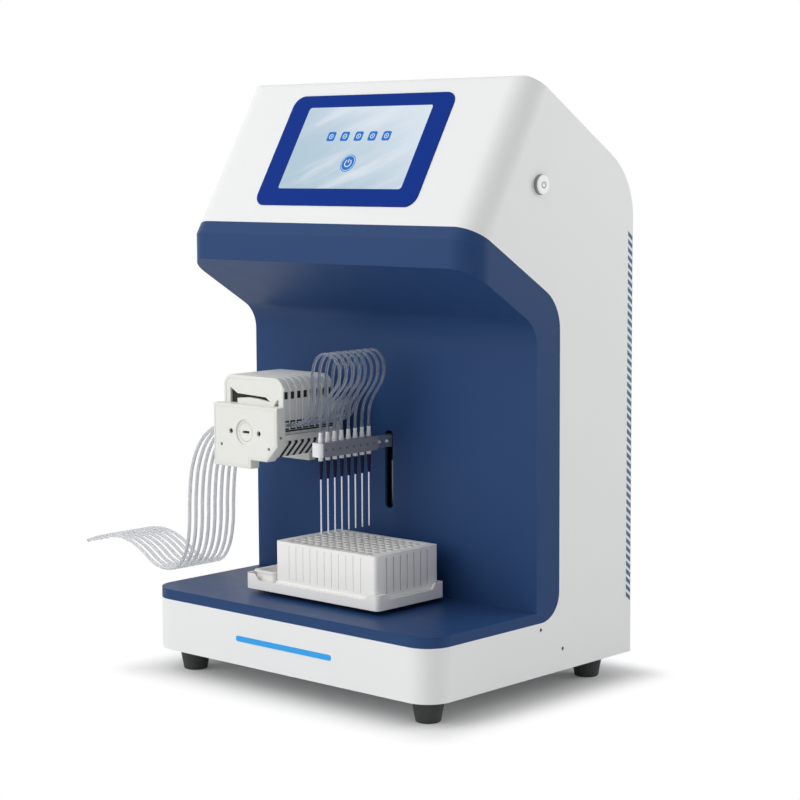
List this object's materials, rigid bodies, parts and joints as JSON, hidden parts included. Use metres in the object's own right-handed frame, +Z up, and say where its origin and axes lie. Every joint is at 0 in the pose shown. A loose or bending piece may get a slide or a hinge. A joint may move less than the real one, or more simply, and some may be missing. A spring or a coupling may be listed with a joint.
{
  "type": "liquid handling robot",
  "caption": "Bench liquid handling robot: open bay, peristaltic pump head feeding a row of needles over a deep well plate on a sliding carrier, slanted touch screen.",
  "frame": {"origin": "on the bench, under the middle of the body's width and depth", "axes": "+Z up, the work bay opens towards -Y, +X to the right of a person facing the screen"},
  "size_m": [0.5108, 0.2832, 0.5507],
  "materials": {
    "white_enamel": "satin white powder coat",
    "blue_enamel": "satin dark blue powder coat",
    "bezel_blue": "gloss royal blue glass print",
    "screen": "lit pale blue display",
    "light_blue": "lit light bar",
    "button_white": "gloss white moulding",
    "black_plastic": "black moulded plastic",
    "feet_rubber": "matt black rubber",
    "pump_plastic": "warm off-white moulding",
    "pump_metal": "ground stainless steel",
    "frame_aluminium": "clear anodised",
    "steel": "ground steel",
    "motor_black": "black lacquer",
    "arm_white": "white moulding",
    "hub_navy": "dark navy moulding",
    "needle_steel": "bright stainless steel",
    "plate_plastic": "natural polypropylene",
    "tube_clear": "translucent tubing",
    "board_green": "solder mask"
  },
  "bodies": {
    "chassis": {"main_housing": "white_enamel", "rear_panel": "blue_enamel", "work_liner": "blue_enamel", "bottom_plate": "steel", "rubber_feet": "feet_rubber", "mains_inlet": "black_plastic", "switch_frame": "black_plastic", "fan_frame": "black_plastic", "screen_bezel": "bezel_blue", "display_panel": "screen", "light_bar": "light_blue", "power_switch": "black_plastic", "side_screws": "motor_black", "z_frame": "frame_aluminium", "z_rail": "steel", "z_motor": "motor_black", "x_frame": "frame_aluminium", "x_rail": "steel", "x_motor": "motor_black", "pump_front_plate": "pump_plastic", "pump_mount_plate": "pump_plastic", "pump_tie_bars": "pump_metal", "tube_cassettes": "pump_plastic", "pump_motor": "motor_black", "power_supply": "frame_aluminium", "main_board": "board_green", "outlet_tubes": "tube_clear", "inlet_tube_1": "tube_clear", "inlet_tube_2": "tube_clear", "inlet_tube_3": "tube_clear", "inlet_tube_4": "tube_clear", "inlet_tube_5": "tube_clear", "inlet_tube_6": "tube_clear", "inlet_tube_7": "tube_clear", "inlet_tube_8": "tube_clear"},
    "needle_arm": {"needle_block": "arm_white", "tube_sleeves": "arm_white", "needle_hubs": "hub_navy", "needles": "needle_steel", "arm_bracket": "frame_aluminium", "z_carriage": "frame_aluminium"},
    "z_lead_screw": {"z_screw": "steel"},
    "plate_stage": {"x_carriage": "frame_aluminium", "plate_carrier": "arm_white", "deep_well_plate": "plate_plastic", "priming_trough": "plate_plastic"},
    "x_lead_screw": {"x_screw": "steel"},
    "pump_drive": {"pump_rotor": "pump_metal"},
    "start_button": {"power_button": "button_white"},
    "mains_rocker": {"power_rocker": "black_plastic"},
    "cooling_fan": {"fan_rotor": "black_plastic"},
    "roller_1": {"pump_roller_1": "pump_metal"},
    "roller_2": {"pump_roller_2": "pump_metal"},
    "roller_3": {"pump_roller_3": "pump_metal"},
    "roller_4": {"pump_roller_4": "pump_metal"},
    "roller_5": {"pump_roller_5": "pump_metal"},
    "roller_6": {"pump_roller_6": "pump_metal"}
  },
  "joints": [
    {"name": "arm_lift", "type": "slide", "parent": "chassis", "child": "needle_arm", "axis": [0, 0, 1], "range_m": [-0.05, 0], "deforming": ["outlet_tubes"]},
    {"name": "z_screw_spin", "type": "hinge", "parent": "chassis", "child": "z_lead_screw", "pos_m": [-0.02, 0.028, 0.202], "axis": [0, 0, 1], "range_deg": [-2260, 10]},
    {"name": "plate_shift", "type": "slide", "parent": "chassis", "child": "plate_stage", "axis": [1, 0, 0], "range_m": [-0.063, 0.0675]},
    {"name": "x_screw_spin", "type": "hinge", "parent": "chassis", "child": "x_lead_screw", "pos_m": [0, -0.0837, 0.05], "axis": [1, 0, 0], "range_deg": [-2850, 3050]},
    {"name": "pump_spin", "type": "hinge", "parent": "chassis", "child": "pump_drive", "pos_m": [-0.0811, -0.0627, 0.2305], "axis": [0, 1, 0], "continuous": true},
    {"name": "button_press", "type": "slide", "parent": "chassis", "child": "start_button", "axis": [-1, 0, 0], "range_m": [0, 0.002], "stiffness_N_per_m": 400},
    {"name": "rocker_tilt", "type": "hinge", "parent": "chassis", "child": "mains_rocker", "pos_m": [-0.07, 0.138, 0.056], "axis": [1, 0, 0], "range_deg": [0, 14]},
    {"name": "fan_spin", "type": "hinge", "parent": "chassis", "child": "cooling_fan", "pos_m": [0.085, 0.128, 0.342], "axis": [0, 1, 0], "continuous": true},
    {"name": "roller_1_spin", "type": "hinge", "parent": "pump_drive", "child": "roller_1", "pos_m": [-0.0641, -0.0627, 0.2305], "axis": [0, 1, 0], "continuous": true},
    {"name": "roller_2_spin", "type": "hinge", "parent": "pump_drive", "child": "roller_2", "pos_m": [-0.0726, -0.0627, 0.24522], "axis": [0, 1, 0], "continuous": true},
    {"name": "roller_3_spin", "type": "hinge", "parent": "pump_drive", "child": "roller_3", "pos_m": [-0.0896, -0.0627, 0.24522], "axis": [0, 1, 0], "continuous": true},
    {"name": "roller_4_spin", "type": "hinge", "parent": "pump_drive", "child": "roller_4", "pos_m": [-0.0981, -0.0627, 0.2305], "axis": [0, 1, 0], "continuous": true},
    {"name": "roller_5_spin", "type": "hinge", "parent": "pump_drive", "child": "roller_5", "pos_m": [-0.0896, -0.0627, 0.21578], "axis": [0, 1, 0], "continuous": true},
    {"name": "roller_6_spin", "type": "hinge", "parent": "pump_drive", "child": "roller_6", "pos_m": [-0.0726, -0.0627, 0.21578], "axis": [0, 1, 0], "continuous": true}
  ],
  "couplings": [
    {"joint": "z_screw_spin", "follows": "arm_lift", "rad_per_m": 785.4},
    {"joint": "x_screw_spin", "follows": "plate_shift", "rad_per_m": 785.4},
    {"joint": "roller_1_spin", "follows": "pump_spin", "ratio": -5.0476},
    {"joint": "roller_2_spin", "follows": "pump_spin", "ratio": -5.0476},
    {"joint": "roller_3_spin", "follows": "pump_spin", "ratio": -5.0476},
    {"joint": "roller_4_spin", "follows": "pump_spin", "ratio": -5.0476},
    {"joint": "roller_5_spin", "follows": "pump_spin", "ratio": -5.0476},
    {"joint": "roller_6_spin", "follows": "pump_spin", "ratio": -5.0476}
  ]
}
